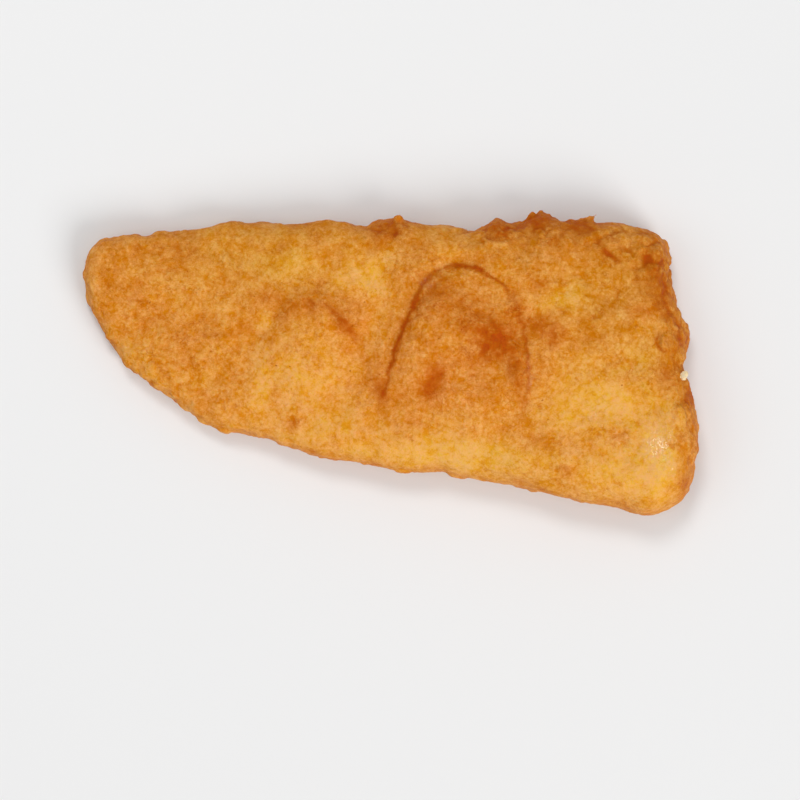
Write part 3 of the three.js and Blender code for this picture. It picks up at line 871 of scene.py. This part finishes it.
def makeCrust():
    material = friedCrust()
    crust = newObject("crustStart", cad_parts["fillet"].data.copy())
    crust.data.materials.clear()
    addDabs(crust.data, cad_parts["fillet"])
    rounding = crust.modifiers.new("rounding", "SUBSURF")
    rounding.levels = rounding.render_levels = 2
    grid = crust.modifiers.new("grid", "REMESH")
    grid.mode = "VOXEL"
    grid.voxel_size = crustSizes["voxel"] * mm
    evening = crust.modifiers.new("evening", "SMOOTH")
    evening.factor = 0.5
    evening.iterations = crustSizes["smoothing"]
    lines = creasePoints()
    addTree(crust, crustRelief(lines, material), crustSizes)
    crust = plainMesh(crust, "crustFine")
    print("crust relief", len(crust.data.polygons), "faces")
    thinning = crust.modifiers.new("thinning", "DECIMATE")
    triangles = sum(len(face.vertices) - 2 for face in crust.data.polygons)
    thinning.ratio = min(1.0, crustSizes["triangles"] / triangles)
    addTree(crust, ridgeField(material), {})
    crust = plainMesh(crust, "crust")
    bpy.data.objects.remove(lines)
    print("crust", len(crust.data.polygons), "faces")
    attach(crust, "root")
    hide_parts("fillet")
    return crust


# one pale crumb of dry batter in the notch of the head

paleCrumb = {
    "seat": (85.3, -3.2),
    "dots": [(-0.5, -0.3, 0.3, 1.05), (0.5, 0.4, 0.4, 0.95), (0.1, -0.6, 0.9, 0.8)],
    "voxel": 0.16, "Lump Size": 0.8, "Lump Height": 0.16,
    "tone": (0.93, 0.80, 0.55, 1), "shade": (0.86, 0.60, 0.27, 1),
}


def crumbRelief(material):
    names = [name for name in paleCrumb if name[0].isupper()]
    tree, given = newTree("crumbRelief", {name: paleCrumb[name] for name in names})
    position = tree.nodes.new("GeometryNodeInputPosition").outputs[0]
    normal = tree.nodes.new("GeometryNodeInputNormal").outputs[0]
    lumps = noiseAt(tree, scaled(tree, position, 1 / mm), given["Lump Size"])
    rise = calc(tree, "MULTIPLY", calc(tree, "MULTIPLY", lumps, given["Lump Height"]), mm)
    shaped = addNode(tree, "GeometryNodeSetPosition",
                     {"Geometry": given["Geometry"], "Offset": scaled(tree, normal, rise)}).outputs[0]
    closeTree(tree, shaped, material)
    return tree


def dryBatter():
    material, tree, shader, place = newMaterial("dryBatter")
    grain = noiseAt(tree, place, 0.6, detail=3.0)
    mixed = blend(tree, remap(tree, grain, -0.6, 0.8), paleCrumb["tone"], paleCrumb["shade"])
    tree.links.new(mixed, shader.inputs["Base Color"])
    bump = addNode(tree, "ShaderNodeBump", {"Height": grain, "Strength": 0.5, "Distance": 0.1 * mm})
    tree.links.new(bump.outputs["Normal"], shader.inputs["Normal"])
    shader.inputs["Roughness"].default_value = 0.6
    shader.inputs["Specular IOR Level"].default_value = crustFinish["gloss"]
    return material


def makePaleCrumb(crust):
    # its dots are placed from the point where the crust is under it
    solid = crust.evaluated_get(bpy.context.evaluated_depsgraph_get())
    _, seat, _, _ = solid.ray_cast(Vector((*paleCrumb["seat"], 40)) * mm, Vector((0, 0, -1)))
    print("pale crumb sits at height", round(seat.z / mm, 1), "mm")
    mesh = bpy.data.meshes.new("crumbStart")
    bm = bmesh.new()
    for *away, radius in paleCrumb["dots"]:
        addDot(bm, seat / mm + Vector(away), radius)
    bm.to_mesh(mesh)
    bm.free()
    crumb = newObject("crumbStart", mesh)
    grid = crumb.modifiers.new("grid", "REMESH")
    grid.mode = "VOXEL"
    grid.voxel_size = paleCrumb["voxel"] * mm
    addTree(crumb, crumbRelief(dryBatter()), paleCrumb)
    crumb = plainMesh(crumb, "paleCrumb")
    print("pale crumb", len(crumb.data.polygons), "faces")
    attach(crumb, "root")


# floor, lights and camera

studio = {
    "floorSize": 8.0,
    "floorColour": (0.86, 0.86, 0.86, 1),
    "world": 0.45,
    "lamps": {  # size in metres, power in watts, place
        "key": (1.3, 29.4, (1.35, -1.42, 1.42)),
        "fill": (0.8, 1.5, (-0.75, -0.1, 0.95)),
        "glint": (0.36, 3.5, (-0.156, 0.58, 1.05)),
    },
    "lens": 135.0,
    "frameWidth": 0.2344,
    "aim": (0.0031, -0.0103, 0.0085),
}


def plainFloor():
    half = studio["floorSize"] / 2
    mesh = bpy.data.meshes.new("floor")
    corners = [(-half, -half, 0), (half, -half, 0), (half, half, 0), (-half, half, 0)]
    mesh.from_pydata(corners, [], [(0, 1, 2, 3)])
    floor = newObject("floor", mesh)
    material = bpy.data.materials.new("paleFloor")
    material.use_nodes = True
    shader = material.node_tree.nodes["Principled BSDF"]
    shader.inputs["Base Color"].default_value = studio["floorColour"]
    shader.inputs["Roughness"].default_value = 0.6
    floor.data.materials.append(material)


def softLight(name, size, power, place):
    # a round lamp that points at the middle of the floor
    data = bpy.data.lights.new(name, "AREA")
    data.shape = "DISK"
    data.size = size
    data.energy = power
    lamp = newObject(name, data)
    lamp.location = place
    lamp.rotation_euler = (-Vector(place)).to_track_quat("-Z", "Y").to_euler()


def lightsAndCamera():
    world = bpy.data.worlds.new("studio")
    scene.world = world
    world.use_nodes = True
    sky = world.node_tree.nodes["Background"]
    sky.inputs["Color"].default_value = (1, 1, 1, 1)
    sky.inputs["Strength"].default_value = studio["world"]
    for name, lamp in studio["lamps"].items():
        softLight(name, *lamp)

    data = bpy.data.cameras.new("camera")
    data.lens = studio["lens"]
    data.clip_end = 20
    camera = newObject("camera", data)
    distance = studio["frameWidth"] / data.sensor_width * data.lens
    aim = Vector(studio["aim"])
    camera.location = aim + Vector((0, 0, distance))
    scene.camera = camera


crust = makeCrust()
makePaleCrumb(crust)
plainFloor()
lightsAndCamera()
